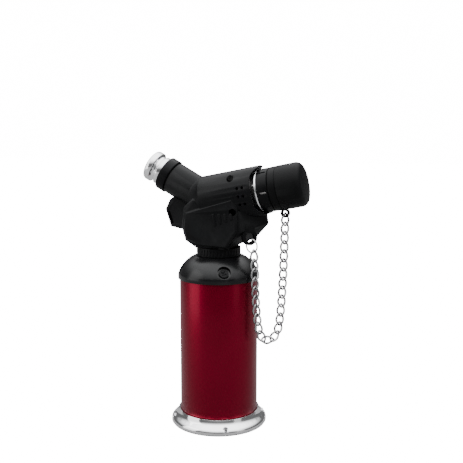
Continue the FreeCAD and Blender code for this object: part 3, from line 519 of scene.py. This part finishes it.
ribLook = dict(count=4, pitch=0.0030, length=0.0062, width=0.0013, rise=0.00035, taper=0.16,
               rounding=0.0003, centre=(0.0068, 0.0, 0.1083), lean=12.0)


def panelRibs(name, side):
    shape = bmesh.new()
    lean = Matrix.Rotation(math.radians(-ribLook["lean"]), 4, "Y")
    for index in range(ribLook["count"]):
        offset = (index - (ribLook["count"] - 1) / 2) * ribLook["pitch"]
        length = ribLook["length"] * (1.0 - ribLook["taper"] * index)
        made = bmesh.ops.create_cube(shape, size=1.0)["verts"]
        bmesh.ops.scale(shape, verts=made, vec=(ribLook["width"], ribLook["rise"] * 2, length))
        bmesh.ops.translate(shape, verts=made, vec=(offset, 0.0, 0.0))
    bmesh.ops.bevel(shape, geom=shape.edges[:], offset=ribLook["rounding"], offset_type="OFFSET",
                    segments=3, profile=0.5, affect="EDGES", material=-1, clamp_overlap=True)
    centre = Vector(ribLook["centre"])
    centre.y = side * panelFace
    bmesh.ops.transform(shape, matrix=Matrix.Translation(centre) @ lean, verts=shape.verts)
    bmesh.ops.recalc_face_normals(shape, faces=shape.faces)
    mesh = bpy.data.meshes.new(name)
    shape.to_mesh(mesh)
    shape.free()
    piece = bpy.data.objects.new(name, mesh)
    bpy.context.scene.collection.objects.link(piece)
    smoothBy(piece, smoothAngle)
    mesh.materials.append(finishes["headBlack"])
    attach(piece, "torch")


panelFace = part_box("head_shell_left")[1].y
panelRibs("panelRibsRight", -1)
panelRibs("panelRibsLeft", 1)
print("panel ribs made")


# floor, light and camera

# the floor and sky are white to the camera; reflections see a darker floor and a sky brightest overhead
studio = dict(floorSize=3.0, floorColour=(0.20, 0.20, 0.20), floorRough=0.6, floorGlow=16.0,
              skyColour=(0.98, 0.99, 1.0), skyLow=0.16, skyHigh=4.5, skyFrom=0.30, skyTo=0.95,
              cameraSky=16.0)


def makeFloor():
    shape = bmesh.new()
    bmesh.ops.create_grid(shape, x_segments=1, y_segments=1, size=studio["floorSize"])
    mesh = bpy.data.meshes.new("studioFloor")
    shape.to_mesh(mesh)
    shape.free()
    floor = bpy.data.objects.new("studioFloor", mesh)
    bpy.context.scene.collection.objects.link(floor)
    material = bpy.data.materials.new("floorWhite")
    material.use_nodes = True
    shader = material.node_tree.nodes["Principled BSDF"]
    shader.inputs["Base Color"].default_value = (*studio["floorColour"], 1.0)
    shader.inputs["Roughness"].default_value = studio["floorRough"]
    shader.inputs["Emission Color"].default_value = (1.0, 1.0, 1.0, 1.0)
    seen = material.node_tree.nodes.new("ShaderNodeLightPath")
    glow = addMath(material.node_tree, "MULTIPLY", seen.outputs["Is Camera Ray"], studio["floorGlow"])
    material.node_tree.links.new(glow, shader.inputs["Emission Strength"])
    mesh.materials.append(material)


def makeSky():
    world = bpy.data.worlds.new("studioSky")
    bpy.context.scene.world = world
    world.use_nodes = True
    tree = world.node_tree
    plain = tree.nodes["Background"]
    plain.inputs["Color"].default_value = (*studio["skyColour"], 1.0)
    # dim at the horizon and bright overhead
    ways = tree.nodes.new("ShaderNodeSeparateXYZ")
    tree.links.new(tree.nodes.new("ShaderNodeTexCoord").outputs["Generated"], ways.inputs[0])
    rise = tree.nodes.new("ShaderNodeMapRange")
    rise.interpolation_type = "SMOOTHSTEP"
    rise.inputs["From Min"].default_value = studio["skyFrom"]
    rise.inputs["From Max"].default_value = studio["skyTo"]
    rise.inputs["To Min"].default_value = studio["skyLow"]
    rise.inputs["To Max"].default_value = studio["skyHigh"]
    tree.links.new(ways.outputs["Z"], rise.inputs["Value"])
    tree.links.new(rise.outputs[0], plain.inputs["Strength"])
    seen = tree.nodes.new("ShaderNodeBackground")
    seen.inputs["Color"].default_value = (1.0, 1.0, 1.0, 1.0)
    seen.inputs["Strength"].default_value = studio["cameraSky"]
    path = tree.nodes.new("ShaderNodeLightPath")
    either = tree.nodes.new("ShaderNodeMixShader")
    tree.links.new(path.outputs["Is Camera Ray"], either.inputs["Fac"])
    tree.links.new(plain.outputs[0], either.inputs[1])
    tree.links.new(seen.outputs[0], either.inputs[2])
    tree.links.new(either.outputs[0], tree.nodes["World Output"].inputs["Surface"])


lightPlan = {
    "keyLight": dict(at=(-0.60, -0.42, 0.28), aim=(0.0, 0.0, 0.07), size=0.50, tall=0.8, power=3.0),
    "fillLight": dict(at=(0.62, -0.20, 0.30), aim=(0.0, 0.0, 0.08), size=0.24, tall=0.5, power=0.3),
}


def makeLights():
    for name, plan in lightPlan.items():
        lamp = bpy.data.lights.new(name, "AREA")
        lamp.shape = "RECTANGLE"
        lamp.size = plan["size"]
        lamp.size_y = plan["tall"]
        lamp.energy = plan["power"]
        holder = bpy.data.objects.new(name, lamp)
        bpy.context.scene.collection.objects.link(holder)
        holder.location = plan["at"]
        towards = Vector(plan["aim"]) - Vector(plan["at"])
        holder.rotation_euler = towards.to_track_quat("-Z", "Y").to_euler()


cameraPlan = dict(at=(0.13065, -0.35896, 0.152), turn=(82.23, 0.0, 19.01), lens=58.55, sensor=36.0,
                  clipStart=0.01)


def makeCamera():
    lens = bpy.data.cameras.new("studioCamera")
    lens.sensor_width = cameraPlan["sensor"]
    lens.lens = cameraPlan["lens"]
    lens.clip_start = cameraPlan["clipStart"]
    camera = bpy.data.objects.new("studioCamera", lens)
    bpy.context.scene.collection.objects.link(camera)
    camera.location = cameraPlan["at"]
    camera.rotation_euler = [math.radians(angle) for angle in cameraPlan["turn"]]
    bpy.context.scene.camera = camera


makeFloor()
makeSky()
makeLights()
makeCamera()
print("studio made")
